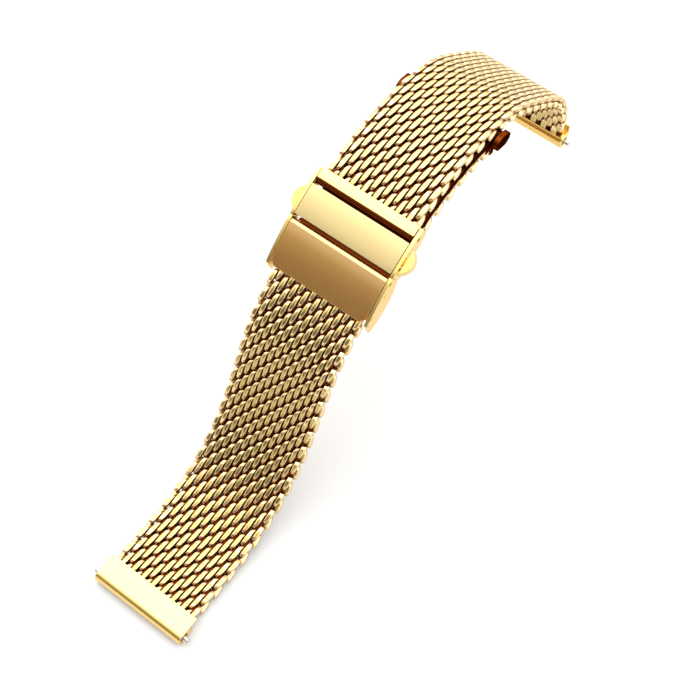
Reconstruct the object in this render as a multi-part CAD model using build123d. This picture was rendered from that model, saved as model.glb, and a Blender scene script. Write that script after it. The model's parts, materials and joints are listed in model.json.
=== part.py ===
from build123d import *
import math
import os

# Woven-mesh watch band with a fold-over push-button clasp, in millimetres.
# X runs along the band from the lower lug end to the hanging one, Y across it to the left button, Z up.
# The origin is the middle of the band's outline, on the surface that the lower lug end stands on.
# Stations are distances along the band's outer face. Depths are measured square to it, downwards.

# Course of the outer face: arcs, each a share of the length, with its end angle in degrees
band_length = 162.4
bend_shares = [
    (0.0518, 0), (0.0384, 3), (0.0512, 19), (0.0512, 41), (0.0512, 55), (0.0448, 62),
    (0.0448, 63), (0.0384, 54), (0.0320, 46), (0.0403, 47), (0.2773, -16), (0.0410, -34),
    (0.0320, -39), (0.0320, -39), (0.0384, -44), (0.0448, -65), (0.0550, -89), (0.0354, -89),
]
bends_to_clasp_end = 11

# Woven mesh
mesh_width = 19.0
mesh_thickness = 2.1
row_pitch = 1.8
rib_depth = 0.25
flex_gap = 0.12
stroke_pitch = 2.33
gap_length = 0.7
gap_width = 1.2
lower_rows = [7, 6, 6, 6, 6]
clasp_rows = 21
tail_rows = 7
upper_rows = [7, 8, 7, 8, 8]

# Lug ends
lug_overhang = 0.4
leaf_length = 5.2
leaf_thickness = 0.45
inner_leaf = 2.6
mesh_inset = 1.8
solder_gap = 0.03
seam_width = 0.22
seam_depth = 0.35
seam_angle = 38

# Spring bars in the lug ends
tube_radius = 0.9
tube_bore = 0.74
tube_inset = 0.6
crimp_length = 0.3
tip_radius = 0.40
tip_reach = 1.0
shank_radius = 0.64
collar_radius = 0.71
collar_length = 2.0
tip_travel = 0.8
bar_fit = 0.03
crimp_fit = 0.03
coil_radius = 0.71
coil_wall = 0.1

# Clasp: lengths along the outer face
clasp_offset = 12.0
lid_length = 9.0
plate_gap = 0.8
head_plate_length = 5.9
bar_gap = 1.3
bar_length = 1.9

# Clasp: widths and walls
plate_overhang = 0.5
mesh_side_gap = 0.25
plate_thickness = 0.8
side_gap = 0.12
wall_thickness = 0.6
wall_drop = 0.1
floor_gap = 0.15
floor_thickness = 0.7
frame_setback = 0.2
wall_joint_gap = 0.12
frame_clearance = 0.25
head_depth = 3.3
head_toe_depth = 2.6
wall_heel = 1.7
wall_heel_depth = 2.65
wall_belly = 4.55
wall_toe_depth = 2.9
skirt_top = 1.75
skirt_overlap = 0.2
skirt_inset = 0.7
skirt_length = 6.2

# Adjuster lid
lid_barrel_radius = 0.8
lid_pin_radius = 0.35
lid_corner = 0.9
clamp_inset = 1.0
clamp_start = 1.4
clamp_length = 1.5
clamp_gap = 0.1
slot_length = 0.9
slot_height = 0.32
wall_slots = [(0.8, 0.35), (5.4, 1.0)]
head_slot_offset = 0.55
head_slot_depth = 1.75

# Blades
blade_lift = 0.15
blade_thickness = 0.65
blade_gap = 0.15
blade_inset = 0.2
shoulder_inset = 1.1
shoulder_length = 5.2
ear_inset = 0.1
ear_length = 5.6
root_length = 3.0
blade_reach = 34.4
blade_barrel_radius = 0.95
blade_pin_radius = 0.4
knuckle_share = 0.484
cheek_thickness = 0.9
cheek_radius = 1.4
cheek_length = 1.5
cheek_recess = 0.3
cheek_rim = 0.6
knuckle_gap = 0.2
head_barrel_inset = 1.0
head_barrel_radius = 0.65
head_pin_radius = 0.35
running_fit = 0.04

# Head, latches and buttons
rib_inset = 1.4
rib_length = 1.1
rib_bottom = 2.15
seat_length = 2.2
seat_bottom = 1.95
button_inset = 2.8
button_chord = 4.7
button_bulge = 1.4
button_top = 0.7
button_height = 2.0
button_travel = 0.4
recess_depth = 0.35
recess_margin = 0.2
stem_half = 0.8
stem_top = 1.2
stem_height = 0.75
stem_fit = 0.04
latch_half = 0.75
latch_cover = 0.07
latch_bar = 0.3
latch_wall_gap = 0.1
tongue_thickness = 0.75
tongue_depth = 1.7
tongue_gap = 0.15
post_half = 0.55
post_thickness = 0.4
post_clearance = 0.15
button_coil_radius = 0.5
button_coil_wall = 0.16
button_coil_length = 3.1
coil_play = 0.05

# Strap end bar
bar_barrel_radius = 1.0
bar_pin_radius = 0.4
bar_rise = 0.05
bar_side_gap = 0.2
pin_recess = 0.06

# Tail strip
strip_length = 1.0
overrun = 1.0


# Course: a chain of tangent arcs that gives the point at a station and a depth
class Course:
    def __init__(self, x, z, angle, arcs):
        self.arcs = []
        self.length = 0
        for length, end in arcs:
            self.arcs.append((self.length, length, x, z, angle, end))
            x, z = arc_point(x, z, angle, end, length, 1)
            self.length += length
            angle = end

    def arc_at(self, station):
        for arc in self.arcs:
            if station <= arc[0] + arc[1]:
                return arc
        return self.arcs[-1]

    def angle(self, station):
        start, length, _, _, first, last = self.arc_at(station)
        return first + (last - first) * (station - start) / length

    def at(self, station, depth=0):
        start, length, x, z, first, last = self.arc_at(station)
        share = (station - start) / length
        turned = first + (last - first) * share
        x, z = arc_point(x, z, first, turned, length * share, 1)
        a = math.radians(turned)
        return x + depth * math.sin(a), z - depth * math.cos(a)

    def breaks(self, low, high):
        inner = [a[0] for a in self.arcs if low < a[0] < high]
        return [low] + inner + [high]

    def curve(self, low, high, depth, y):
        cuts = self.breaks(low, high)
        return [self.span(a, b, depth, y) for a, b in zip(cuts, cuts[1:])]

    def span(self, a, b, depth, y):
        ends = [self.spot(s, depth, y) for s in (a, (a + b) / 2, b)]
        if abs(self.angle(a) - self.angle(b)) < 1e-6:
            return Line(ends[0], ends[2])
        return ThreePointArc(*ends)

    def spot(self, station, depth, y=0):
        x, z = self.at(station, depth)
        return Vector(x, y, z)

    def below(self, other, station):
        """This course's station square under a station of another one."""
        x, z = other.at(station)
        a = math.radians(other.angle(station))
        low, high = 0, self.length
        for _ in range(60):
            mid = (low + high) / 2
            px, pz = self.at(mid)
            ahead = (px - x) * math.cos(a) + (pz - z) * math.sin(a)
            low, high = (low, mid) if ahead > 0 else (mid, high)
        return (low + high) / 2


def arc_point(x, z, first, last, length, share):
    half = math.radians(last - first) * share / 2
    chord = length * share if abs(half) < 1e-9 else length * share * math.sin(half) / half
    a = math.radians(first) + half
    return x + chord * math.cos(a), z + chord * math.sin(a)


def chord_arc(start, end, first, last):
    half = math.radians(last - first) / 2
    chord = math.dist(start, end)
    return (chord if abs(half) < 1e-9 else chord * half / math.sin(half), last)


def joining_arcs(start, first, end, last):
    """Two tangent arcs from one point and angle to another."""
    a, b = math.radians(first), math.radians(last)
    u, w = (math.cos(a), math.sin(a)), (math.cos(b), math.sin(b))
    v = (end[0] - start[0], end[1] - start[1])
    t = (u[0] + w[0], u[1] + w[1])
    along = v[0] * t[0] + v[1] * t[1]
    spread = 2 * (1 - u[0] * w[0] - u[1] * w[1])
    reach = (math.sqrt(along**2 + spread * (v[0] ** 2 + v[1] ** 2)) - along) / spread
    middle = [(start[i] + end[i] + reach * (u[i] - w[i])) / 2 for i in (0, 1)]
    turn = math.degrees(math.atan2(middle[1] - start[1], middle[0] - start[0]))
    mid_angle = 2 * turn - first
    return [chord_arc(start, middle, first, mid_angle), chord_arc(middle, end, mid_angle, last)]


outer = Course(0, 0, 0, [(share * band_length, angle) for share, angle in bend_shares])

# Stations that follow from the sizes
lower_start = leaf_length - mesh_inset
lower_end = lower_start + sum(lower_rows) * row_pitch
lower_reach = lower_end + clasp_offset
lid_end = lower_reach + lid_length
head_start = lid_end + plate_gap
head_plate_end = head_start + head_plate_length
bar_start = head_plate_end + bar_gap
upper_start = bar_start + bar_length
upper_end = upper_start + sum(upper_rows) * row_pitch
upper_mouth = upper_end - mesh_inset
blade_end = head_start + blade_reach

# The lower strap sinks under the clasp and runs on below the blades and the upper strap
stack = mesh_thickness + 3 * blade_gap + 2 * blade_thickness + blade_lift + flex_gap
settled = upper_start
tail_arcs = joining_arcs(
    outer.at(lower_end), outer.angle(lower_end), outer.at(settled, stack), outer.angle(settled)
)
clasp_end = sum(share for share, _ in bend_shares[:bends_to_clasp_end]) * band_length
inner_share = (outer.at(clasp_end, stack), outer.angle(clasp_end))
tail_arcs.append(
    chord_arc(outer.at(settled, stack), inner_share[0], outer.angle(settled), inner_share[1])
)
inner = Course(*outer.at(lower_end), outer.angle(lower_end), tail_arcs)

# Widths that follow from the mesh's
lug_width = mesh_width + 2 * lug_overhang
plate_width = mesh_width + 2 * plate_overhang
clamp_width = mesh_width - 2 * clamp_inset
tube_length = lug_width - 2 * tube_inset
wall_inside = plate_width / 2 + side_gap
wall_outside = wall_inside + wall_thickness
skirt_inside = mesh_width / 2 + mesh_side_gap
skirt_outside = wall_inside + skirt_overlap
blade_half = mesh_width / 2 - blade_inset
shoulder_half = blade_half - shoulder_inset
ear_half = mesh_width / 2 - ear_inset
knuckle_half = knuckle_share * blade_half
cheek_inside = mesh_width / 2 + mesh_side_gap
cheek_outside = cheek_inside + cheek_thickness

# Depths of the blades below the inner course
fold_top = -(blade_lift + 2 * blade_thickness + blade_gap)
fold_bottom = -(blade_lift + blade_thickness + blade_gap)
base_top = -(blade_lift + blade_thickness)
base_bottom = -blade_lift
hinge_depth = (fold_bottom + base_top) / 2

SIDES = {"left": 1, "right": -1}


# Solids
def across(edges, low, high):
    """The closed outline, drawn at y = low, stretched to y = high."""
    return extrude(make_face(edges), amount=high - low, dir=(0, 1, 0))


def strip(course, start, end, top, bottom, low, high):
    """A bent plate between two stations, two depths and two widths."""
    upper = course.curve(start, end, top, low)
    lower = course.curve(start, end, bottom, low)
    a = Line(course.spot(start, top, low), course.spot(start, bottom, low))
    b = Line(course.spot(end, top, low), course.spot(end, bottom, low))
    return across(upper + [b] + lower + [a], low, high)


def sided(course, start, end, top, bottom, low, high, side):
    """The same, on one side of the middle: low and high count outwards."""
    near, far = sorted((side * low, side * high))
    return strip(course, start, end, top, bottom, near, far)


def rod(course, station, depth, radius, low, high):
    """A round bar across the band."""
    place = Plane(origin=course.spot(station, depth, low), x_dir=(1, 0, 0), z_dir=(0, 1, 0))
    return extrude(place * Circle(radius), amount=high - low)


def sided_rod(course, station, depth, radius, low, high, side):
    near, far = sorted((side * low, side * high))
    return rod(course, station, depth, radius, near, far)


def rib_arc(course, start, end, deep, share, bottom):
    """The rounded back of half a row, on the outer face or the inner one."""
    radius = (row_pitch**2 / 4 + rib_depth**2) / (2 * rib_depth)
    swell = radius - math.sqrt(radius**2 - (share * row_pitch) ** 2)
    points = []
    for station, depth in ((start, deep[0]), ((start + end) / 2, swell), (end, deep[1])):
        flipped = mesh_thickness - depth if bottom else depth
        points.append(course.spot(station, flipped, -mesh_width / 2))
    return ThreePointArc(*points)


def ribbed_face(course, start, rows, bottom):
    edges = []
    for row in range(rows):
        left, crest = start + row * row_pitch, start + (row + 0.5) * row_pitch
        if row > 0:
            edges.append(rib_arc(course, left, crest, (rib_depth, 0), 0.25, bottom))
        if row < rows - 1:
            right = left + row_pitch
            edges.append(rib_arc(course, crest, right, (0, rib_depth), 0.25, bottom))
    return edges


def nose(course, crest, tip, blunt):
    """The rounded end of the last row, or a flat one where it is soldered."""
    y = -mesh_width / 2
    top, bottom = course.spot(crest, 0, y), course.spot(crest, mesh_thickness, y)
    if blunt:
        first, last = course.spot(tip, 0, y), course.spot(tip, mesh_thickness, y)
        return [Line(top, first), Line(first, last), Line(last, bottom)]
    return [ThreePointArc(top, course.spot(tip, mesh_thickness / 2, y), bottom)]


def weave_gaps(course, start, rows, odd_start):
    """The gaps between the wire's strokes, half a pitch over from row to row; each row's last is an open edge."""
    count = round(mesh_width / stroke_pitch)
    gaps = []
    for row in range(rows):
        crest = start + (row + 0.5) * row_pitch
        side = 1 if (row + odd_start) % 2 else -1
        for stroke in range(count):
            middle = (stroke + 0.75 - count / 2) * stroke_pitch
            low, high = middle - gap_width / 2, middle + gap_width / 2
            if stroke == count - 1:
                high = mesh_width / 2 + overrun
            first, last = crest - gap_length / 2, crest + gap_length / 2
            gaps.append(sided(course, first, last, -overrun, mesh_thickness + overrun, low, high, side))
    return gaps


def mesh_piece(course, start, rows, odd_start, blunt_start=False, blunt_end=False):
    """A length of mesh, ribbed by its rows, with round ends that roll on the next length."""
    end = start + rows * row_pitch
    first = start if blunt_start else start + flex_gap / 2
    last = end if blunt_end else end - flex_gap / 2
    edges = ribbed_face(course, start, rows, False) + ribbed_face(course, start, rows, True)
    edges += nose(course, start + row_pitch / 2, first, blunt_start)
    edges += nose(course, end - row_pitch / 2, last, blunt_end)
    body = across(edges, -mesh_width / 2, mesh_width / 2)
    return body - weave_gaps(course, start, rows, odd_start)


# Lug ends: a folded leaf over the mesh, with a rolled barrel for the spring bar
def lug_plane(station, outward):
    """Local X runs out of the mesh, local Y up from the mesh's middle."""
    a = math.radians(outer.angle(station))
    origin = outer.spot(station, mesh_thickness / 2, 0)
    ahead = Vector(math.cos(a), 0, math.sin(a)) * outward
    return Plane(origin=origin, x_dir=ahead, z_dir=(0, -outward, 0))


def lug_end(station, outward):
    radius = mesh_thickness / 2 + leaf_thickness
    centre = leaf_length - radius
    slot = mesh_thickness + 2 * solder_gap
    body = Pos(centre / 2, 0) * Rectangle(centre, 2 * radius) + Pos(centre, 0) * Circle(radius)
    body -= Rectangle(2 * (mesh_inset + solder_gap), slot)
    step = leaf_length - inner_leaf
    body -= Pos((step - overrun) / 2, -radius) * Rectangle(step + overrun, 2 * leaf_thickness)
    body -= Pos(centre, 0) * Circle(tube_radius)
    groove = Rot(0, 0, -seam_angle) * Pos(radius, 0) * Rectangle(2 * seam_depth, seam_width)
    body -= Pos(centre, 0) * groove
    return extrude(lug_plane(station, outward) * body, amount=lug_width / 2, both=True)


def lug_axis(station, outward):
    """The spring bar's axis, as a plane whose Z points to the left."""
    centre = leaf_length - mesh_thickness / 2 - leaf_thickness
    point = lug_plane(station, outward) * Pos(centre, 0, 0)
    return Plane(origin=point.position, x_dir=(1, 0, 0), z_dir=(0, 1, 0))


def turned(axis, radius, low, high):
    """A round solid about the spring bar's axis."""
    near, far = sorted((low, high))
    return extrude(axis * Pos(0, 0, near) * Circle(radius), amount=far - near)


def bar_tube(axis):
    half = tube_length / 2
    inside = half - crimp_length
    tube = turned(axis, tube_radius, -half, half)
    tube -= turned(axis, tube_bore, -inside, inside)
    return tube - turned(axis, shank_radius + crimp_fit, -half - overrun, half + overrun)


def bar_tip(axis, side):
    inside = tube_length / 2 - crimp_length - bar_fit
    shoulder = lug_width / 2
    tip = turned(axis, collar_radius, side * (inside - collar_length), side * inside)
    tip += turned(axis, shank_radius, side * inside, side * shoulder)
    return tip + turned(axis, tip_radius, side * shoulder, side * (shoulder + tip_reach))


def bar_spring(axis):
    half = tube_length / 2 - crimp_length - bar_fit - collar_length
    coil = turned(axis, coil_radius, -half, half)
    return coil - turned(axis, coil_radius - coil_wall, -half - overrun, half + overrun)


# Adjuster: the channel that grips the lower strap, and its lid
lid_hinge = lid_end - lid_barrel_radius


def adjuster_wall(side):
    """A side wall with a heel towards the lower strap and a rounded lower edge."""
    start, end = lower_reach - frame_setback / 2, lid_end + frame_setback
    heel = lower_reach - wall_heel
    low, high = sorted((side * wall_inside, side * wall_outside))
    first, last = outer.spot(heel, wall_heel_depth, low), outer.spot(end, wall_toe_depth, low)
    belly = outer.spot((heel + end) / 2, wall_belly, low)
    edges = outer.curve(start, end, wall_drop, low) + [ThreePointArc(first, belly, last)]
    edges += [Line(outer.spot(start, wall_drop, low), first), Line(outer.spot(end, wall_drop, low), last)]
    return across(edges, low, high)


def channel_skirt(side):
    """The inner channel's side, from behind the wall down to the channel's floor."""
    start = lower_reach + skirt_inset
    end = start + skirt_length
    low, high = sorted((side * skirt_inside, side * skirt_outside))
    foot = mesh_thickness + floor_gap + floor_thickness
    a, b = inner.below(outer, start), inner.below(outer, end)
    edges = outer.curve(start, end, skirt_top, low) + inner.curve(a, b, foot, low)
    edges.append(Line(outer.spot(start, skirt_top, low), inner.spot(a, foot, low)))
    edges.append(Line(outer.spot(end, skirt_top, low), inner.spot(b, foot, low)))
    return across(edges, low, high)


def wall_slot(start, depth):
    """A short slot through both side walls."""
    return strip(outer, start, start + slot_length, depth, depth + slot_height, -wall_outside, wall_outside)


def adjuster_frame():
    start = lower_reach + skirt_inset
    a, b = inner.below(outer, start), inner.below(outer, start + skirt_length)
    top = mesh_thickness + floor_gap
    body = strip(inner, a, b, top, top + floor_thickness, -skirt_outside, skirt_outside)
    for side in SIDES.values():
        body += channel_skirt(side) + adjuster_wall(side)
    body -= rod(outer, lid_hinge, lid_barrel_radius, lid_pin_radius, -wall_outside, wall_outside)
    for offset, depth in wall_slots:
        body -= wall_slot(lower_reach + offset, depth)
    return body


def adjuster_lid():
    half = plate_width / 2
    body = strip(outer, lower_reach, lid_hinge, 0, plate_thickness, -half, half)
    body += rod(outer, lid_hinge, lid_barrel_radius, lid_barrel_radius, -half, half)
    bore = lid_pin_radius + running_fit
    body -= rod(outer, lid_hinge, lid_barrel_radius, bore, -half, half)
    corners = body.edges().filter_by(GeomType.LINE).sort_by(Axis.X)[:8]
    return chamfer([e for e in corners if abs(e.length - plate_thickness) < lid_barrel_radius / 9], lid_corner)


def clamp_bar():
    low, high = lower_reach + clamp_start, lower_reach + clamp_start + clamp_length
    y = -clamp_width / 2
    a, b = inner.below(outer, low), inner.below(outer, high)
    corners = [outer.spot(low, plate_thickness, y), outer.spot(high, plate_thickness, y)]
    corners += [inner.spot(b, -clamp_gap, y), inner.spot(a, -clamp_gap, y)]
    edges = [Line(p, q) for p, q in zip(corners[1:], corners[2:] + corners[:1])]
    return across(edges + outer.curve(low, high, plate_thickness, y), y, -y)


def lid_pin():
    half = wall_outside - pin_recess
    return rod(outer, lid_hinge, lid_barrel_radius, lid_pin_radius, -half, half)


# Blades: two bent plates that fold flat between the straps
far_hinge = inner.below(outer, blade_end)
near_hinge = inner.below(outer, head_start + head_barrel_inset)
near_depth = fold_bottom - head_barrel_radius


def cheek(radius, low, high, side):
    """A rounded loop beside the meshes, round the far hinge."""
    near, far = sorted((side * low, side * high))
    back = far_hinge - cheek_length
    body = rod(inner, far_hinge, hinge_depth, radius, near, far)
    body += rod(inner, back, hinge_depth, radius, near, far)
    return body + strip(inner, back, far_hinge, hinge_depth - radius, hinge_depth + radius, near, far)


def base_blade():
    root = inner.below(outer, lid_end + frame_setback)
    stop = far_hinge - blade_barrel_radius - knuckle_gap
    body = strip(inner, root - root_length, root, base_top, base_bottom, -skirt_inside, skirt_inside)
    body += strip(inner, root, root + ear_length, base_top, base_bottom, -ear_half, ear_half)
    body += strip(inner, root + ear_length, stop, base_top, base_bottom, -blade_half, blade_half)
    for side in SIDES.values():
        inside = knuckle_half + knuckle_gap
        body += sided(inner, stop, far_hinge, base_top, base_bottom, inside, blade_half, side)
        body += sided_rod(inner, far_hinge, hinge_depth, blade_barrel_radius, inside, cheek_inside, side)
        body += cheek(cheek_radius, cheek_inside, cheek_outside, side)
        body -= cheek(cheek_radius - cheek_rim, cheek_outside - cheek_recess, cheek_outside, side)
    return body - rod(inner, far_hinge, hinge_depth, blade_pin_radius, -cheek_outside, cheek_outside)


def fold_blade():
    stop = far_hinge - blade_barrel_radius - knuckle_gap
    shoulder = near_hinge + shoulder_length
    body = strip(inner, near_hinge, shoulder, fold_top, fold_bottom, -shoulder_half, shoulder_half)
    body += strip(inner, shoulder, stop, fold_top, fold_bottom, -blade_half, blade_half)
    body += strip(inner, stop, far_hinge, fold_top, fold_bottom, -knuckle_half, knuckle_half)
    body += rod(inner, far_hinge, hinge_depth, blade_barrel_radius, -knuckle_half, knuckle_half)
    body += rod(inner, near_hinge, near_depth, head_barrel_radius, -shoulder_half, shoulder_half)
    bore = blade_pin_radius + running_fit
    body -= rod(inner, far_hinge, hinge_depth, bore, -knuckle_half, knuckle_half)
    bore = head_pin_radius + running_fit
    return body - rod(inner, near_hinge, near_depth, bore, -shoulder_half, shoulder_half)


def blade_pin():
    half = cheek_outside - cheek_recess
    return rod(inner, far_hinge, hinge_depth, blade_pin_radius, -half, half)


def head_pin():
    half = wall_outside - recess_depth - pin_recess
    return rod(inner, near_hinge, near_depth, head_pin_radius, -half, half)


# Head: cover plate, side walls, latches and push-buttons
button_station = head_start + button_inset
latch_top = plate_thickness + latch_cover
post_inside = shoulder_half + 2 * post_clearance
tongue_outside = post_inside - tongue_gap
seat_half = tongue_outside - tongue_thickness - button_coil_length


def head_side(side):
    """A side wall, shallower where it holds the strap end's pin."""
    start, end = lid_end + frame_setback + wall_joint_gap, upper_start - frame_setback / 2
    low, high = sorted((side * wall_inside, side * wall_outside))
    knee = head_plate_end
    edges = outer.curve(start, end, wall_drop, low) + outer.curve(start, knee, head_depth, low)
    edges.append(Line(outer.spot(start, wall_drop, low), outer.spot(start, head_depth, low)))
    edges.append(Line(outer.spot(end, wall_drop, low), outer.spot(end, head_toe_depth, low)))
    edges.append(Line(outer.spot(end, head_toe_depth, low), outer.spot(knee, head_depth, low)))
    return across(edges, low, high)


def head_wall(side):
    low, high = wall_inside, wall_outside
    wall = head_side(side)
    reach = button_chord / 2 + recess_margin
    first, last = button_station - reach, button_station + reach
    top = button_top - recess_margin
    wall -= sided(outer, first, last, top, head_depth + overrun, high - recess_depth, high + overrun, side)
    first, last = button_station - stem_half - stem_fit, button_station + stem_half + stem_fit
    top, bottom = stem_top - stem_fit, stem_top + stem_height + stem_fit
    return wall - sided(outer, first, last, top, bottom, low - overrun, high + overrun, side)


def head_frame():
    rib_start = head_plate_end - rib_inset
    top = plate_thickness
    body = strip(outer, rib_start, rib_start + rib_length, top, rib_bottom, -wall_inside, wall_inside)
    body += strip(outer, rib_start - seat_length, rib_start, top, seat_bottom, -seat_half, seat_half)
    for side in SIDES.values():
        body += head_wall(side)
    full = wall_outside
    body -= rod(inner, near_hinge, near_depth, head_pin_radius, -full, full)
    body -= wall_slot(bar_start + head_slot_offset, head_slot_depth)
    return body - rod(outer, bar_start, bar_depth, bar_pin_radius, -full, full)


def head_plate():
    half = plate_width / 2
    return strip(outer, head_start, head_plate_end, 0, plate_thickness, -half, half)


def push_button(side):
    """A half-moon outside the wall, with a stem through the wall's window."""
    chord = wall_outside - recess_depth + button_travel + latch_wall_gap
    radius = (button_chord**2 / 4 + button_bulge**2) / (2 * button_bulge)
    a = math.radians(outer.angle(button_station))
    top = outer.spot(button_station, button_top, 0)
    place = Plane(origin=top, x_dir=(math.cos(a), 0, math.sin(a)), z_dir=(math.sin(a), 0, -math.cos(a)))
    round_ = Pos(0, -side * (chord + button_bulge - radius)) * Circle(radius)
    keep = Pos(0, -side * (chord + radius)) * Rectangle(4 * radius, 2 * radius)
    moon = extrude(place * (round_ & keep), amount=button_height)
    start, end = button_station - stem_half, button_station + stem_half
    inside = wall_inside - latch_wall_gap
    return moon + sided(outer, start, end, stem_top, stem_top + stem_height, inside, chord, side)


def latch(side):
    """A bar from the button's stem over the catch post, with a tongue behind the post."""
    start, end = button_station - latch_half, button_station + latch_half
    outside = wall_inside - latch_wall_gap
    inside = tongue_outside - tongue_thickness
    bar = sided(outer, start, end, latch_top, latch_top + latch_bar, inside, outside, side)
    drop = stem_top + stem_height
    bar += sided(outer, start, end, latch_top, drop, outside - latch_bar, outside, side)
    return bar + sided(outer, start, end, latch_top, tongue_depth, inside, tongue_outside, side)


def catch_post(side):
    """A post on the base blade, beside the fold blade's shoulder."""
    start, end = button_station - post_half, button_station + post_half
    low, high = post_inside, post_inside + post_thickness
    near, far = sorted((side * low, side * high))
    a, b = inner.below(outer, start), inner.below(outer, end)
    top = latch_top + latch_bar + post_clearance
    edges = outer.curve(start, end, top, near) + inner.curve(a, b, base_top, near)
    edges.append(Line(outer.spot(start, top, near), inner.spot(a, base_top, near)))
    edges.append(Line(outer.spot(end, top, near), inner.spot(b, base_top, near)))
    return across(edges, near, far)


def button_spring(side):
    low, high = seat_half, tongue_outside - tongue_thickness
    depth = (latch_top + tongue_depth) / 2
    coil = sided_rod(outer, button_station, depth, button_coil_radius, low, high, side)
    bore = button_coil_radius - button_coil_wall
    return coil - sided_rod(outer, button_station, depth, bore, low, high, side)


# Strap end bar: the upper strap's first row is soldered to it
bar_depth = mesh_thickness / 2


def strap_end_bar():
    half = wall_inside - bar_side_gap
    top, bottom = -bar_rise, mesh_thickness + bar_rise
    body = strip(outer, bar_start, upper_start, top, bottom, -half, half)
    body += rod(outer, bar_start, bar_depth, bar_barrel_radius, -half, half)
    return body - rod(outer, bar_start, bar_depth, bar_pin_radius + running_fit, -half, half)


def strap_end_pin():
    half = wall_outside - pin_recess
    return rod(outer, bar_start, bar_depth, bar_pin_radius, -half, half)


# All pieces by name
def mesh_pieces(pieces, hinges):
    start, row = lower_start, 0
    for count, rows in enumerate(lower_rows, 1):
        pieces[f"lower_mesh_{count}"] = mesh_piece(outer, start, rows, row % 2, blunt_start=count == 1)
        start, row = start + rows * row_pitch, row + rows
        hinges[f"lower_flex_{count}"] = outer.spot(start, mesh_thickness / 2)
    pieces["clasp_mesh"] = mesh_piece(inner, 0, clasp_rows, row % 2)
    tail, row = clasp_rows * row_pitch, row + clasp_rows
    pieces["tail_mesh"] = mesh_piece(inner, tail, tail_rows, row % 2, blunt_end=True)
    hinges["tail_flex"] = inner.spot(tail, mesh_thickness / 2)
    tip = tail + tail_rows * row_pitch
    half = mesh_width / 2
    pieces["tail_end_strip"] = strip(inner, tip, tip + strip_length, 0, mesh_thickness, -half, half)
    start, row = upper_start, 0
    for count, rows in enumerate(upper_rows, 1):
        first, last = count == 1, count == len(upper_rows)
        pieces[f"upper_mesh_{count}"] = mesh_piece(outer, start, rows, row % 2, first, last)
        if not first:
            hinges[f"upper_flex_{count - 1}"] = outer.spot(start, mesh_thickness / 2)
        start, row = start + rows * row_pitch, row + rows


def lug_pieces(pieces, hinges):
    for name, station, outward in (("lower", leaf_length, -1), ("upper", upper_mouth, 1)):
        axis = lug_axis(station, outward)
        pieces[f"{name}_lug_end"] = lug_end(station, outward)
        pieces[f"{name}_spring_bar_tube"] = bar_tube(axis)
        pieces[f"{name}_spring_bar_coil"] = bar_spring(axis)
        hinges[f"{name}_spring_bar"] = axis.origin
        for word, side in SIDES.items():
            pieces[f"{name}_spring_bar_tip_{word}"] = bar_tip(axis, side)


def clasp_pieces(pieces, hinges):
    pieces["adjuster_frame"] = adjuster_frame()
    pieces["adjuster_lid"] = adjuster_lid()
    pieces["adjuster_lid_pin"] = lid_pin()
    pieces["clamp_bar"] = clamp_bar()
    pieces["base_blade"] = base_blade()
    pieces["fold_blade"] = fold_blade()
    pieces["blade_hinge_pin"] = blade_pin()
    pieces["head_hinge_pin"] = head_pin()
    pieces["head_frame"] = head_frame()
    pieces["head_cover_plate"] = head_plate()
    pieces["strap_end_bar"] = strap_end_bar()
    pieces["strap_end_pin"] = strap_end_pin()
    for word, side in SIDES.items():
        pieces[f"push_button_{word}"] = push_button(side)
        pieces[f"latch_{word}"] = latch(side)
        pieces[f"catch_post_{word}"] = catch_post(side)
        pieces[f"button_spring_{word}"] = button_spring(side)
    hinges["lid_hinge"] = outer.spot(lid_hinge, lid_barrel_radius)
    hinges["blade_hinge"] = inner.spot(far_hinge, hinge_depth)
    hinges["head_hinge"] = inner.spot(near_hinge, near_depth)
    hinges["strap_end_hinge"] = outer.spot(bar_start, bar_depth)


def build():
    pieces, hinges = {}, {}
    mesh_pieces(pieces, hinges)
    lug_pieces(pieces, hinges)
    clasp_pieces(pieces, hinges)
    box = Compound(children=[Compound(p.solids()) for p in pieces.values()]).bounding_box()
    shift = Vector(-(box.min.X + box.max.X) / 2, 0, -box.min.Z)
    return {n: Pos(shift) * p for n, p in pieces.items()}, {n: p + shift for n, p in hinges.items()}, box


def main():
    os.makedirs("parts", exist_ok=True)
    pieces, hinges, box = build()
    for name, piece in pieces.items():
        solids = piece.solids()
        export_step(solids[0] if len(solids) == 1 else Compound(solids), f"parts/{name}.step")
    for name, point in hinges.items():
        print(f"{name} {point.X:.4f} {point.Z:.4f}")
    print(f"size {box.size.X:.2f} {box.size.Y:.2f} {box.size.Z:.2f}, {len(pieces)} pieces")


if __name__ == "__main__":
    main()
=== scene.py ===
import json
import math

import bmesh
import bpy
from bpy.props import FloatProperty, FloatVectorProperty, IntProperty, PointerProperty
from mathutils import Matrix, Vector


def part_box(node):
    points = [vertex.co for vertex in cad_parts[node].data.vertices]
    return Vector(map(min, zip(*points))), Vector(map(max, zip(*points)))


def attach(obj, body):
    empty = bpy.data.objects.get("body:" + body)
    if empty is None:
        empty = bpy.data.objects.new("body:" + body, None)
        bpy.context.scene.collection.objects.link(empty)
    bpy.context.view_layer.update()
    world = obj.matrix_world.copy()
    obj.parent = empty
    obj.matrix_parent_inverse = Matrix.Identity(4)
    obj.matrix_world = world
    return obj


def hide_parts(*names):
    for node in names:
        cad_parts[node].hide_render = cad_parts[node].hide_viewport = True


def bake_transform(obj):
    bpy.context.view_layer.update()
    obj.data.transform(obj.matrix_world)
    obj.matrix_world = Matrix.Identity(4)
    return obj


bl_info = {
    "name": "Woven mesh watch band",
    "version": (1, 0, 0),
    "blender": (4, 5, 0),
    "location": "View3D > Sidebar > Watch band",
    "description": "Dresses a woven mesh watch band with its wires, fittings, springs and studio",
    "category": "Object",
}

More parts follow.
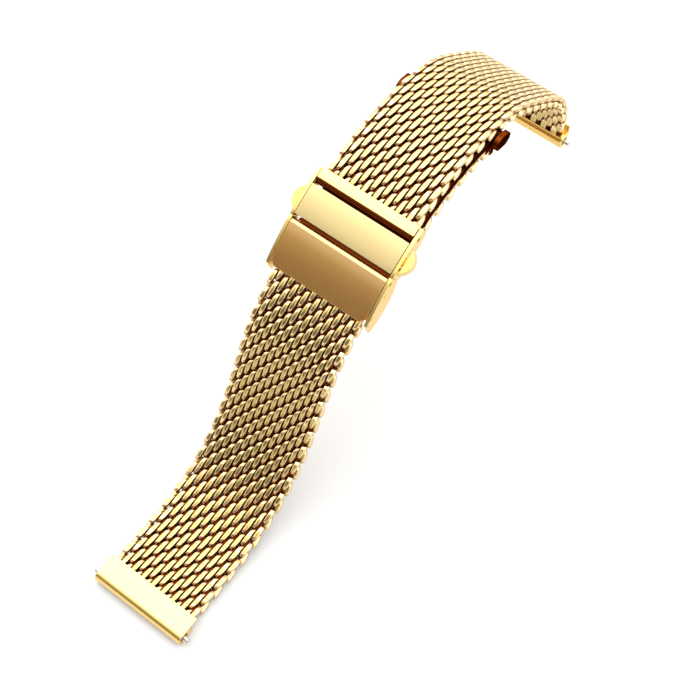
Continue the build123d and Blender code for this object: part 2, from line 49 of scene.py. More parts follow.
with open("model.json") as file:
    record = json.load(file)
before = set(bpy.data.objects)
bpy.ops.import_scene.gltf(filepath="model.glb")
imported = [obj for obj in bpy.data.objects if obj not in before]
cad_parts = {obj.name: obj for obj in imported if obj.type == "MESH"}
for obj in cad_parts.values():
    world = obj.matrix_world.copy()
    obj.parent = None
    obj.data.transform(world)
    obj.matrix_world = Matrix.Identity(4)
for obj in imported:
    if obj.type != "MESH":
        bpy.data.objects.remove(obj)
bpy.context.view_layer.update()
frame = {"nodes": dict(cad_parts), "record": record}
MM = 0.001

# Course of the band's outer face: arcs, each a share of the length, with its end angle in degrees
BAND_LENGTH = 162.4
BEND_SHARES = [
    (0.0518, 0), (0.0384, 3), (0.0512, 19), (0.0512, 41), (0.0512, 55), (0.0448, 62),
    (0.0448, 63), (0.0384, 54), (0.0320, 46), (0.0403, 47), (0.2773, -16), (0.0410, -34),
    (0.0320, -39), (0.0320, -39), (0.0384, -44), (0.0448, -65), (0.0550, -89), (0.0354, -89),
]
BENDS_TO_CLASP_END = 11
NO_TURN = 1e-9

# The band in mm: a row of coils, its thickness, and stations along the outer face
ROW = 1.8
THICKNESS = 2.1
LUG_AXIS_STATION = 1.5
LOWER_START, LOWER_END, UPPER_START = 3.4, 59.2, 90.1
# Depth of the lower strap's outer face where it lies below the blades
STACK = 4.12

# A coil: strokes across the band, and the share of a stroke that is missing at each end
STROKES = 16
STROKE_MARGIN = 0.3
# Powers that flatten the coil and square the wire's outline: lower is flatter
FLATNESS = 0.30
SQUARENESS = 0.5
# Shares: how far the steps crowd at the bends, and how the strokes narrow on the outer face
BEND_CROWDING = 0.175
LEAST_SINE = 0.1
OUTER_WIDTH = 0.68
OUTER_TAPER = 0.7
# Where along the row the stubs start that stand out of the strap end bar, in mm from its middle
STUB_START = 0.9

# Painted light and shade of the weave: the wire is painted dark deep between the strokes and darker on
# the strokes' flanks, and kept light on the crowns and at the band's edges. Heights are shares of half
# the thickness, flanks a share of the wire's width, and the band's edges are in mm from its middle
CROWN_START = 0.62
CROWN_SPAN = 0.33
ROLLED_HEIGHT = 0.97
FLANK_START = 0.35
FLANK_SHADE = 0.5
EDGE_LIGHT = (8.4, 9.4)

# Springs: turns and wire in mm, steps in a turn and sides of the wire
BUTTON_TURNS = 6
BUTTON_WIRE = 0.2
BAR_TURNS = 12
BAR_WIRE = 0.22
SPRING_STEPS = 12
SPRING_SIDES = 6

# Rounded copies: distances in metres and angles in degrees
MERGE_DISTANCE = 0.000002
SLIVER_LENGTH = 0.0000002
FLAT_ANGLE = 1.0
SHARP_ANGLE = 35
SHADING_ANGLE = 40
EDGE_SEGMENTS = 2
LID_ROUNDING = 2

# Grain and wear: how fine each pattern is along x, y and z, for a metre
EVEN = (1, 1, 1)
SATIN_LINES = (900.0, 60.0, 900.0)
LID_LINES = (1500.0, 40.0, 1500.0)
STEEL_GRAIN = (500.0, 500.0, 500.0)
WIRE_WEAR = 260.0
SATIN_WEAR = 140.0
FLOOR_GRAIN = 8.0
# Drawing lines of the wire: how fine they are round it, and how much they are drawn out along it
DRAWING_LINES = 9.0
DRAWN_OUT = 0.15

# Relief of the finishes: strength, and height in metres
WIRE_RELIEF = (0.25, 0.00003)
SATIN_RELIEF = (0.02, 0.00001)
LID_RELIEF = (0.006, 0.00001)
STEEL_RELIEF = (0.05, 0.00002)

# Roughness: of the wire deep in the weave, how much its crowns are smoother and its worn patches
# rougher, of the other finishes, and how much their lines or grain add
WIRE_ROUGHNESS = 0.36
CROWN_POLISH = 0.18
WEAR_ROUGHNESS = 0.10
FRAME_ROUGHNESS = 0.2
COVER_ROUGHNESS = 0.26
BAR_ROUGHNESS = 0.22
SATIN_LINE_ROUGHNESS = 0.08
LID_ROUGHNESS = 0.24
LID_LINE_ROUGHNESS = 0.02
BLADE_ROUGHNESS = 0.3
SPRING_ROUGHNESS = 0.25
STEEL_GRAIN_ROUGHNESS = 0.1
FLOOR_ROUGHNESS = 0.9

# Tone: shares of a finish's colour in its darker spots
SATIN_SHADE = 0.92
STEEL_SHADE = 0.88
FLOOR_SHADE = 0.995
# Least and further share of the rolled flats' darker colour, a painted shaded reflection, that the worn patches let
# through
ROLLED_LEAST, ROLLED_FURTHER = 0.7, 0.3
# Heights of the lid's three tones of painted reflection as shares of its own height, and how much its lines move them
LID_REFLECTION_HEIGHTS = (0.30, 0.78, 0.93)
LID_LINE_TONE = 0.02
# Radius in mm of the painted shade on the barrel of the strap end bar
BARREL_SHADE_RADIUS = 1.06

# Sockets of the node that mixes two colours
FIRST_COLOUR, SECOND_COLOUR, MIXED_COLOUR = 6, 7, 2

# Studio: lengths in metres; the camera's place in mm from the course's start
FLOOR_REACH = 1.5
FLOOR_DROP = 0.00005
KEY_PLACE = (0.10, 0.15, 0.75)
KEY_AIM = (0, 0, 0.03)
KEY_SIZE = 0.9
# Room light: how much the far side and the two sides count beside the height, and the light there
FAR_SIDE = 0.5
BOTH_SIDES = 0.9
ROOM_LEVELS = [(0.05, 0.10), (0.22, 0.14), (0.50, 0.42), (0.80, 0.78), (1.0, 1.0)]
CAMERA_PLACE = (-37.46, -76.21, 234.4)
CAMERA_VIEW = (0.3821, 0.2907, -0.8772)
SENSOR_WIDTH = 36.0
LENS = 70.35
NEAREST_SEEN = 0.01

# Rows of each woven piece, the rows of the joints, and the bodies that the pieces are attached to
LOWER_BODIES = [
    "lower_mesh_1", "lower_mesh_2", "lower_mesh_3", "lower_mesh_4", "lower_mesh_5", "clasp_base", "tail",
]
LOWER_JOINTS = [7, 13, 19, 25, 31, 52]
LOWER_CUTS = [0, 4, 10, 16, 22, 28, 41, 59]
LOWER_NODES = [
    "lower_mesh_1", "lower_mesh_2", "lower_mesh_3", "lower_mesh_4", "lower_mesh_5", "clasp_mesh", "tail_mesh",
]
UPPER_BODIES = ["strap_end", "upper_mesh_2", "upper_mesh_3", "upper_mesh_4", "upper_mesh_5"]
UPPER_JOINTS = [7, 15, 22, 30]
UPPER_CUTS = [0, 4, 11, 19, 26, 38]
UPPER_NODES = ["upper_mesh_1", "upper_mesh_2", "upper_mesh_3", "upper_mesh_4", "upper_mesh_5"]

# Fittings that share the satin gold finish
FRAME_NODES = [
    "adjuster_frame", "head_frame", "push_button_left", "push_button_right", "lower_lug_end", "upper_lug_end",
]


class WeaveSettings(bpy.types.PropertyGroup):
    stroke_pitch: FloatProperty(
        name="Stroke pitch", description="Distance across the band between two wire strokes, in mm", default=1.17
    )
    wire_width: FloatProperty(
        name="Wire width", description="Width of the wire across the band, in mm", default=1.38
    )
    wire_thickness: FloatProperty(name="Wire thickness", description="Thickness of the wire, in mm", default=1.0)
    coil_reach: FloatProperty(
        name="Coil reach", description="Half length of a coil's stroke along the band, in mm", default=1.55
    )
    coil_rise: FloatProperty(name="Coil rise", description="Half height of a coil's middle line, in mm", default=0.60)
    bend_width: FloatProperty(
        name="Bend width", description="Width of the wire at its bends, as a share of its strokes' width", default=0.55
    )
    straightening: FloatProperty(
        name="Straightening", description="How far the strokes lie along the band instead of slanting", default=0.43
    )
    sides: IntProperty(name="Sides", description="Sides of the wire's outline", default=8)
    steps_per_turn: IntProperty(name="Steps per turn", description="Steps of the coil in one turn", default=12)


class FinishSettings(bpy.types.PropertyGroup):
    wire_crown: FloatVectorProperty(
        name="Wire crown", description="Colour of the wire's rolled crowns",
        subtype="COLOR", size=3, default=(0.88, 0.66, 0.33),
    )
    # Painted shade: the lower strap's rolled flats, darker than the crowns as a shaded reflection
    flat_shade_lower: FloatVectorProperty(
        name="Wire flat", description="Colour of the wire's rolled flats",
        subtype="COLOR", size=3, default=(0.44, 0.34, 0.10),
    )
    # Painted light: the upper strap's rolled flats, paler than the lower strap's, a lit copy of the same wire
    flat_shade_upper: FloatVectorProperty(
        name="Wire flat, upper strap", description="Colour of the rolled flats of the upper strap",
        subtype="COLOR", size=3, default=(0.50, 0.40, 0.145),
    )
    # Painted shade: the colour of the wire deep in the weave and on the strokes' flanks
    wire_painted_shade: FloatVectorProperty(
        name="Wire depth", description="Colour of the wire deep in the weave",
        subtype="COLOR", size=3, default=(0.15, 0.020, 0.003),
    )
    fittings: FloatVectorProperty(
        name="Fittings", description="Colour of the clasp's frames and the lug ends",
        subtype="COLOR", size=3, default=(0.90, 0.62, 0.20),
    )
    cover: FloatVectorProperty(
        name="Cover plate", description="Colour of the pale satin plate in the clasp's middle",
        subtype="COLOR", size=3, default=(0.56, 0.435, 0.20),
    )
    # Painted reflection on the lid's gold, by height: pale at its upper edge
    lid_reflection_upper: FloatVectorProperty(
        name="Lid, upper edge", description="Colour of the lid at its upper edge",
        subtype="COLOR", size=3, default=(0.72, 0.45, 0.18),
    )
    # Painted reflection, darker, between the lid's edges
    lid_reflection_middle: FloatVectorProperty(
        name="Lid, middle", description="Colour of the lid between its edges",
        subtype="COLOR", size=3, default=(0.66, 0.37, 0.11),
    )
    # Painted reflection, bronze, at the lid's lower edge
    lid_reflection_lower: FloatVectorProperty(
        name="Lid, lower edge", description="Colour of the lid at its lower edge",
        subtype="COLOR", size=3, default=(0.80, 0.41, 0.125),
    )
    # Painted shade: the deep red-brown of the blades, latches and pins, also of the strap end bar's barrel
    inner_steel: FloatVectorProperty(
        name="Inner steel", description="Colour of blades and pins",
        subtype="COLOR", size=3, default=(0.13, 0.026, 0.004),
    )
    spring_steel: FloatVectorProperty(
        name="Spring steel", description="Colour of the springs and spring bars",
        subtype="COLOR", size=3, default=(0.55, 0.55, 0.53),
    )
    edge_round: FloatProperty(
        name="Edge rounding", description="Rounding of the fittings' edges, in mm", default=0.1
    )


class StudioSettings(bpy.types.PropertyGroup):
    floor: FloatVectorProperty(
        name="Floor", description="Colour of the floor", subtype="COLOR", size=3, default=(0.47, 0.47, 0.47)
    )
    world: FloatProperty(name="Room light", description="Strength of the even light of the room", default=2.9)
    key: FloatProperty(name="Key light", description="Power of the key light", default=3.0, unit="POWER")


# Course: a chain of tangent arcs that gives the point at a station and a depth
class Course:
    def __init__(self, x, z, angle, arcs):
        self.arcs = []
        station = 0
        for length, end in arcs:
            self.arcs.append((station, length, x, z, angle, end))
            x, z = arc_point(x, z, angle, end, length)
            station += length
            angle = end

    def arc_at(self, station):
        for arc in self.arcs:
            if station <= arc[0] + arc[1]:
                return arc
        return self.arcs[-1]

    def angle(self, station):
        start, length, _, _, first, last = self.arc_at(station)
        return first + (last - first) * (station - start) / length

    def at(self, station, depth=0):
        start, length, x, z, first, last = self.arc_at(station)
        share = (station - start) / length
        turned = first + (last - first) * share
        x, z = arc_point(x, z, first, turned, length * share)
        a = math.radians(turned)
        return x + depth * math.sin(a), z - depth * math.cos(a)


def arc_point(x, z, first, last, length):
    """The end of an arc that turns from one angle to another."""
    half = math.radians(last - first) / 2
    chord = length if abs(half) < NO_TURN else length * math.sin(half) / half
    a = math.radians(first) + half
    return x + chord * math.cos(a), z + chord * math.sin(a)


def chord_arc(start, end, first, last):
    """Length and end angle of the arc over a chord."""
    half = math.radians(last - first) / 2
    chord = math.dist(start, end)
    return (chord if abs(half) < NO_TURN else chord * half / math.sin(half), last)


def joining_arcs(start, first, end, last):
    """Two tangent arcs from one point and angle to another."""
    a, b = math.radians(first), math.radians(last)
    u, w = (math.cos(a), math.sin(a)), (math.cos(b), math.sin(b))
    v = (end[0] - start[0], end[1] - start[1])
    t = (u[0] + w[0], u[1] + w[1])
    along = v[0] * t[0] + v[1] * t[1]
    spread = 2 * (1 - u[0] * w[0] - u[1] * w[1])
    reach = (math.sqrt(along**2 + spread * (v[0] ** 2 + v[1] ** 2)) - along) / spread
    middle = [(start[i] + end[i] + reach * (u[i] - w[i])) / 2 for i in (0, 1)]
    turn = math.degrees(math.atan2(middle[1] - start[1], middle[0] - start[0]))
    mid_angle = 2 * turn - first
    return [chord_arc(start, middle, first, mid_angle), chord_arc(middle, end, mid_angle, last)]


def courses():
    """The outer face's course, and the lower strap's, which leaves it at the clasp and runs on below the blades."""
    arcs = [(share * BAND_LENGTH, angle) for share, angle in BEND_SHARES]
    outer = Course(0, 0, 0, arcs)
    lower, reached = [], 0
    for length, angle in arcs:
        if reached + length >= LOWER_END:
            lower.append((LOWER_END - reached, outer.angle(LOWER_END)))
            break
        lower.append((length, angle))
        reached += length
    settled, below = outer.at(UPPER_START, STACK), outer.angle(UPPER_START)
    lower += joining_arcs(outer.at(LOWER_END), outer.angle(LOWER_END), settled, below)
    end = sum(share for share, _ in BEND_SHARES[:BENDS_TO_CLASP_END]) * BAND_LENGTH
    lower.append(chord_arc(settled, outer.at(end, STACK), below, outer.angle(end)))
    return outer, Course(0, 0, 0, lower)


def course_shift():
    """Where the courses start in the shared frame, in mm, found from the lower spring bar."""
    low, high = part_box("lower_spring_bar_tube")
    centre = (low + high) / 2 / MM
    return Vector((centre.x - LUG_AXIS_STATION, 0, centre.z + THICKNESS / 2))


OUTER, LOWER = courses()
SHIFT = course_shift()


def spot(course, station, depth, y):
    """A point of the band in metres, in the shared frame."""
    x, z = course.at(station, depth)
    return (Vector((x, y, z)) + SHIFT) * MM


# Materials
class Value:
    """A node's output, ready for sums."""

    def __init__(self, shader, socket):
        self.shader = shader
        self.socket = socket

    def maths(self, operation, first, second):
        return self.shader.node("ShaderNodeMath", {"operation": operation}, {0: first, 1: second})

    def __add__(self, other):
        return self.maths("ADD", self, other)

    def __radd__(self, other):
        return self.maths("ADD", other, self)

    def __sub__(self, other):
        return self.maths("SUBTRACT", self, other)

    def __rsub__(self, other):
        return self.maths("SUBTRACT", other, self)

    def __mul__(self, other):
        return self.maths("MULTIPLY", self, other)

    def __rmul__(self, other):
        return self.maths("MULTIPLY", other, self)

    def __truediv__(self, other):
        return self.maths("DIVIDE", self, other)

    def __pow__(self, other):
        return self.maths("POWER", self, other)


class Shader:
    """A material or a room's light under construction."""

    def __init__(self, name, kind="materials"):
        self.material = getattr(bpy.data, kind).new(name)
        self.material.use_nodes = True
        self.tree = self.material.node_tree
        self.tree.nodes.clear()

    def node(self, kind, settings, inputs, output=0):
        """One node: its settings first, then the values and links of its sockets."""
        made = self.tree.nodes.new(kind)
        for key, value in settings.items():
            if key == "stops":
                self.stops(made.color_ramp, value)
            else:
                setattr(made, key, value)
        for key, value in inputs.items():
            if isinstance(value, Value):
                self.tree.links.new(value.socket, made.inputs[key])
            else:
                made.inputs[key].default_value = value
        return Value(self, made.outputs[output])

    def stops(self, ramp, stops):
        while len(ramp.elements) < len(stops):
            ramp.elements.new(0.5)
        for element, (position, colour) in zip(ramp.elements, stops):
            element.position = position
            element.color = colour

    def blend(self, share, first, second):
        """Colours mixed by a share from 0 to 1."""
        inputs = {"Factor": share, FIRST_COLOUR: first, SECOND_COLOUR: second}
        return self.node("ShaderNodeMix", {"data_type": "RGBA"}, inputs, MIXED_COLOUR)

    def coords(self, kind="Object"):
        return self.node("ShaderNodeTexCoord", {}, {}, kind)

    def place(self, scale):
        """Object coordinates, stretched by a scale for each axis."""
        return self.node("ShaderNodeMapping", {}, {"Vector": self.coords(), "Scale": scale})

    def part(self, vector, axis):
        """One of a vector's three numbers."""
        return self.node("ShaderNodeSeparateXYZ", {}, {"Vector": vector}, axis)

    def attribute(self, name, kind="Fac"):
        return self.node("ShaderNodeAttribute", {"attribute_name": name}, {}, kind)

    def noise(self, vector, scale, detail=3.0):
        return self.node("ShaderNodeTexNoise", {}, {"Vector": vector, "Scale": scale, "Detail": detail})

    def ramp(self, value, stops):
        return self.node("ShaderNodeValToRGB", {"stops": stops}, {"Fac": value})

    def bump(self, height, relief):
        strength, distance = relief
        inputs = {"Height": height, "Strength": strength, "Distance": distance}
        return self.node("ShaderNodeBump", {}, inputs)

    def metal(self, colour, roughness, normal, slant=None):
        """The finished metal. Slant is its colour where it is seen at a slant, when that isn't white."""
        inputs = {"Base Color": colour, "Roughness": roughness, "Metallic": 1.0, "Normal": normal}
        if slant is not None:
            inputs["Specular Tint"] = slant
        self.finish(self.node("ShaderNodeBsdfPrincipled", {}, inputs))
        return self.material

    def finish(self, shader, kind="ShaderNodeOutputMaterial"):
        made = self.tree.nodes.new(kind)
        self.tree.links.new(shader.socket, made.inputs["Surface"])


def rgba(colour, shade=1.0):
    return (*[c * shade for c in colour], 1.0)


def wire_finish(finish, name, rolled):
    """Rolled wire: gold crowns, painted shade deep in the weave and on the strokes' flanks, rolled flats painted
    darker as a shaded reflection, fine drawing lines and small wear.
    """
    s = Shader(name)
    light = s.attribute("weave_light")
    wire = s.attribute("wire_place", "Vector")
    flat = s.attribute("rolled_flat")
    patches = s.noise(s.place(EVEN), WIRE_WEAR)
    # Rolled flats painted darker than the crowns, a shaded reflection
    crown = s.blend(flat * (ROLLED_LEAST + ROLLED_FURTHER * patches), rgba(finish.wire_crown), rgba(rolled))
    # Painted shade deep in the weave and on the flanks, kept light on the crowns and the band's edges
    colour = s.blend(light, rgba(finish.wire_painted_shade), crown)
    lines = s.noise(wire, DRAWING_LINES, 2.0)
    rough = WIRE_ROUGHNESS - CROWN_POLISH * light + WEAR_ROUGHNESS * patches
    return s.metal(colour, rough, s.bump(lines, WIRE_RELIEF))


def satin_finish(name, colour, roughness):
    """Brushed metal: long fine lines across the band and faint patches of wear."""
    s = Shader(name)
    lines = s.noise(s.place(SATIN_LINES), 1.0, 4.0)
    patches = s.noise(s.place(EVEN), SATIN_WEAR)
    tone = s.blend(lines * 0.5 + patches * 0.5, rgba(colour, SATIN_SHADE), rgba(colour))
    return s.metal(tone, roughness + SATIN_LINE_ROUGHNESS * lines, s.bump(lines, SATIN_RELIEF))


def lid_finish(finish):
    """The lid: polished gold with painted reflection by height, pale at its upper edge and bronze towards its lower
    one.
    """
    s = Shader("polished_lid")
    low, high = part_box("adjuster_lid")
    share = (s.part(s.coords(), "Z") - low.z) / (high.z - low.z)
    lines = s.noise(s.place(LID_LINES), 1.0, 2.0)
    tones = [rgba(finish.lid_reflection_lower), rgba(finish.lid_reflection_middle), rgba(finish.lid_reflection_upper)]
    # Painted reflection: the lid's tone follows its height
    tone = s.ramp(share + LID_LINE_TONE * lines, list(zip(LID_REFLECTION_HEIGHTS, tones)))
    return s.metal(tone, LID_ROUGHNESS + LID_LINE_ROUGHNESS * lines, s.bump(lines, LID_RELIEF))


def bar_finish(finish):
    """The strap end bar: a satin plate whose barrel, in the gap beside it, is painted in shade."""
    s = Shader("satin_bar")
    joints = frame["record"]["behaviour"]["joints"]
    hinge = next(j for j in joints if j["name"] == "strap_end_hinge")["pos_m"]
    around = s.node("ShaderNodeVectorMath", {"operation": "SUBTRACT"}, {0: s.coords(), 1: hinge})
    along, height = s.part(around, "X"), s.part(around, "Z")
    distance = (along * along + height * height) ** 0.5
    # Painted shade on the barrel round the hinge
    barrel = distance.maths("LESS_THAN", distance, BARREL_SHADE_RADIUS * MM)
    lines = s.noise(s.place(SATIN_LINES), 1.0, 4.0)
    tone = s.blend(barrel, rgba(finish.fittings), rgba(finish.inner_steel))
    return s.metal(tone, BAR_ROUGHNESS + SATIN_LINE_ROUGHNESS * lines, s.bump(lines, SATIN_RELIEF))


def plain_finish(name, colour, roughness):
    """Turned or drawn metal with a fine grain, as deep in tone where it is seen at a slant. For the blades, latches
    and pins its colour and slant colour are painted shade.
    """
    s = Shader(name)
    grain = s.noise(s.place(STEEL_GRAIN), 1.0, 3.0)
    tone = s.blend(grain, rgba(colour, STEEL_SHADE), rgba(colour))
    return s.metal(tone, roughness + STEEL_GRAIN_ROUGHNESS * grain, s.bump(grain, STEEL_RELIEF), rgba(colour))


def floor_finish(colour):
    """A plain pale floor with a barely seen grain."""
    s = Shader("studio_floor")
    grain = s.noise(s.place(EVEN), FLOOR_GRAIN, 2.0)
    tone = s.blend(grain, rgba(colour, FLOOR_SHADE), rgba(colour))
    inputs = {"Base Color": tone, "Roughness": FLOOR_ROUGHNESS, "Metallic": 0.0}
    s.finish(s.node("ShaderNodeBsdfPrincipled", {}, inputs))
    return s.material


# Wires
def signed_power(value, power):
    return math.copysign(abs(value) ** power, value)


def coil_point(co, off, across, settings):
    """A point of the round coil, moved to the flattened one. X runs along the band, Z outwards."""
    turn = math.atan2(co.z, -co.x)
    turn -= BEND_CROWDING * math.sin(2 * turn)
    sin, cos = math.sin(turn), math.cos(turn)
    x = -settings.coil_reach * cos
    z = settings.coil_rise * signed_power(sin, FLATNESS)
    slope = FLATNESS * settings.coil_rise * cos / max(abs(sin), LEAST_SINE) ** (1 - FLATNESS)
    tangent = Vector((settings.coil_reach * sin, slope)).normalized()
    x -= off * tangent.y
    z += off * tangent.x
    steady = settings.straightening
    sway = steady * math.sin(2 * turn) + (1 - steady) / 4 * math.sin(4 * turn)
    spread = settings.bend_width + (1 - settings.bend_width) * abs(sin)
    if sin > 0:
        spread = (spread - OUTER_TAPER * sin * (1 - sin)) * (1 - (1 - OUTER_WIDTH) * sin)
    y = co.y - across * (1 - spread) - settings.stroke_pitch / math.pi * sway
    half = THICKNESS / 2
    return Vector((x, y, max(-half, min(half, z))))


def coil_mesh(settings, half_turned):
    """One flattened coil across the band, in mm, with where each point lies along the wire and round it."""
    start = math.pi * STROKE_MARGIN
    angle = math.pi * (STROKES - 2 * STROKE_MARGIN)
    steps = round(angle / math.tau * settings.steps_per_turn)
    across = settings.stroke_pitch * (STROKES - 2 * STROKE_MARGIN)
    bm = bmesh.new()
    turn = Matrix.Rotation(start + (math.pi if half_turned else 0), 4, "Y")
    place = Matrix.Translation((0, across / 2, 0)) @ turn @ Matrix.Translation((-1, 0, 0))
    half_side = Matrix.Rotation(math.pi / settings.sides, 4, "Z")
    bmesh.ops.create_circle(bm, segments=settings.sides, radius=1, matrix=half_side)
    section = bm.verts.layers.float_vector.new("section")
    for v in bm.verts:
        thick, wide = signed_power(v.co.x, SQUARENESS), signed_power(v.co.y, SQUARENESS)
        v[section] = Vector((-thick * settings.wire_thickness / 2, wide * settings.wire_width / 2, 0))
        v.co = place @ Vector((-v[section].x, v[section].y, 0))
    bmesh.ops.spin(
        bm, geom=bm.edges[:], cent=(0, 0, 0), axis=(0, 1, 0), dvec=(0, -across / steps, 0), angle=angle, steps=steps
    )
    bmesh.ops.holes_fill(bm, edges=[e for e in bm.edges if e.is_boundary])
    bmesh.ops.recalc_face_normals(bm, faces=bm.faces)
    wire = bm.verts.layers.float_vector.new("wire_place")
    for v in bm.verts:
        along = (across / 2 - v.co.y) / settings.stroke_pitch
        v[wire] = Vector((DRAWN_OUT * along, v[section].x, v[section].y))
    for v in bm.verts:
        v.co = coil_point(v.co, v[section].x, v[section].y, settings)
    rolled = bm.faces.layers.float.new("rolled_flat")
    for f in bm.faces:
        f[rolled] = float(min(abs(v.co.z) for v in f.verts) > ROLLED_HEIGHT * THICKNESS / 2)
        f.smooth = True
    mesh = bpy.data.meshes.new("coil")
    bm.to_mesh(mesh)
    bm.free()
    return mesh


def weave_light(co, section, settings):
    """Painted light and shade of a point of the weave: 1, lit, on the crowns and the band's edges, 0, painted shade,
    deep between the strokes.
    """
    rise = (abs(co.z) / (THICKNESS / 2) - CROWN_START) / CROWN_SPAN
    flank = abs(section.y) > FLANK_START * settings.wire_width
    edge = (abs(co.y) - EDGE_LIGHT[0]) / (EDGE_LIGHT[1] - EDGE_LIGHT[0])
    crown = max(0.0, min(rise, 1.0)) * (FLANK_SHADE if flank else 1.0)
    return max(crown, min(edge, 1.0))


def end_stubs(coil):
    """The ends of a coil's strokes that stand out of the part it is soldered into."""
    bm = bmesh.new()
    bm.from_mesh(coil)
    geom = bm.verts[:] + bm.edges[:] + bm.faces[:]
    cut = (STUB_START, 0, 0)
    bmesh.ops.bisect_plane(bm, geom=geom, plane_co=cut, plane_no=(1, 0, 0), clear_inner=True)
    bmesh.ops.holes_fill(bm, edges=[e for e in bm.edges if e.is_boundary])
    mesh = bpy.data.meshes.new("stubs")
    bm.to_mesh(mesh)
    bm.free()
    return mesh


def shared_coils(context):
    """The coils of even rows and of odd rows, and the stubs, each made once."""
    settings = context.scene.band_weave
    if "band_coil" not in bpy.data.meshes:
        coil_mesh(settings, False).name = "band_coil"
        coil_mesh(settings, True).name = "band_coil_turned"
        end_stubs(bpy.data.meshes["band_coil_turned"]).name = "band_coil_stubs"
    return [bpy.data.meshes[name] for name in ("band_coil", "band_coil_turned", "band_coil_stubs")]


def woven_piece(name, course, start, rows, coils, material, settings):
    """Rows of coils laid along a course. A row before the first one shows only its stubs."""
    bm = bmesh.new()
    # Painted light and shade of each point of the weave, read by the wire's material
    light = bm.verts.layers.float.new("weave_light")
    bm.verts.layers.float_vector.new("wire_place")
    section = bm.verts.layers.float_vector.new("section")
    bm.faces.layers.float.new("rolled_flat")
    for row in rows:
        middle = start + (row + 0.5) * ROW
        count = len(bm.verts)
        bm.from_mesh(coils[row % 2] if row >= 0 else coils[2])
        bm.verts.ensure_lookup_table()
        for v in bm.verts[count:]:
            v[light] = weave_light(v.co, v[section], settings)
            v.co = spot(course, middle + v.co.x, THICKNESS / 2 - v.co.z, v.co.y)
    return finished(name, bm, material)


def finished(name, bm, material, smooth=False):
    """A bmesh made into an object at the origin."""
    mesh = bpy.data.meshes.new(name)
    if smooth:
        for f in bm.faces:
            f.smooth = True
    bm.to_mesh(mesh)
    bm.free()
    mesh.materials.append(material)
    piece = bpy.data.objects.new(name, mesh)
    bpy.context.scene.collection.objects.link(piece)
    return piece


def weave_strap(context, word, course, start, cuts, joints, bodies, nodes, material):
    """A strap in pieces that each span one joint at most: a piece spanning a joint stays where it lies, the others are
    attached to a body. The upper one starts with its stubs.
    """
    coils, settings = shared_coils(context), context.scene.band_weave
    for number, (first, last) in enumerate(zip(cuts, cuts[1:])):
        rows = range(first, last)
        if number == 0 and course is OUTER:
            rows = range(-1, last)
        piece = woven_piece(f"{word}_weave_{number}", course, start, rows, coils, material, settings)
        inside = [i for i, joint in enumerate(joints) if first < joint < last]
        if inside:
            joint = start + joints[inside[0]] * ROW
            before = spot(course, joint - ROW, THICKNESS / 2, 0)
            after = spot(course, joint + ROW, THICKNESS / 2, 0)
            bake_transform(piece)
        else:
            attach(piece, bodies[0] if number == 0 else bodies[-1])
        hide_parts(nodes[number])


# Fittings: the solids' own shapes with rounded edges
def body_of_node(node):
    for body, nodes in frame["record"]["behaviour"]["bodies"].items():
        if node in nodes:
            return body
    raise RuntimeError(f"{node} is in no body")


def rounded_copy(node, material, radius):
    """A copy of a fitting with its flat faces joined and its sharp edges rounded."""
    body = body_of_node(node)
    bm = bmesh.new()
    bm.from_mesh(frame["nodes"][node].data)
    bmesh.ops.remove_doubles(bm, verts=bm.verts, dist=MERGE_DISTANCE)
    bmesh.ops.dissolve_limit(bm, angle_limit=math.radians(FLAT_ANGLE), verts=bm.verts, edges=bm.edges)
    sharp = [e for e in bm.edges if len(e.link_faces) == 2 and e.calc_face_angle(0) > math.radians(SHARP_ANGLE)]
    bmesh.ops.bevel(
        bm, geom=sharp, offset=radius * MM, segments=EDGE_SEGMENTS, profile=0.5, affect="EDGES",
        clamp_overlap=True, material=-1,
    )
    bmesh.ops.dissolve_degenerate(bm, dist=SLIVER_LENGTH, edges=bm.edges)
    bmesh.ops.triangulate(bm, faces=[f for f in bm.faces if len(f.verts) > 4])
    piece = finished(f"{node}_rounded", bm, material, True)
    piece.data.set_sharp_from_angle(angle=math.radians(SHADING_ANGLE))
    steady = piece.modifiers.new("even_shading", "WEIGHTED_NORMAL")
    steady.keep_sharp = True
    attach(piece, body)
    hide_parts(node)


def dress(nodes, material):
    """Gives solids of the frame a material."""
    for node in nodes:
        slots = frame["nodes"][node].material_slots
        if not slots:
            frame["nodes"][node].data.materials.append(material)
        for slot in slots:
            slot.material = material


def wire_spring(name, node, turns, wire, reach, material):
    """A helical spring in the place of a plain tube, from its resting end to the end that is pressed."""
    low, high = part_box(node)
    middle = (low + high) / 2
    side = math.copysign(1, reach[1])
    radius = (high.z - low.z) / 2 - wire / 2 * MM
    start = reach[0] + side * wire / 2 * MM
    length = reach[1] - reach[0] - side * wire * MM
    steps = turns * SPRING_STEPS
    bm = bmesh.new()
    place = Matrix.Translation((middle.x + radius, start, middle.z))
    bmesh.ops.create_circle(bm, segments=SPRING_SIDES, radius=wire / 2 * MM, matrix=place)
    bmesh.ops.spin(
        bm, geom=bm.edges[:], cent=middle, axis=(0, side, 0), dvec=(0, length / steps, 0),
        angle=math.tau * turns, steps=steps,
    )
    bmesh.ops.holes_fill(bm, edges=[e for e in bm.edges if e.is_boundary])
    bmesh.ops.recalc_face_normals(bm, faces=bm.faces)
    piece = finished(name, bm, material, True)
    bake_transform(piece)
    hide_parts(node)


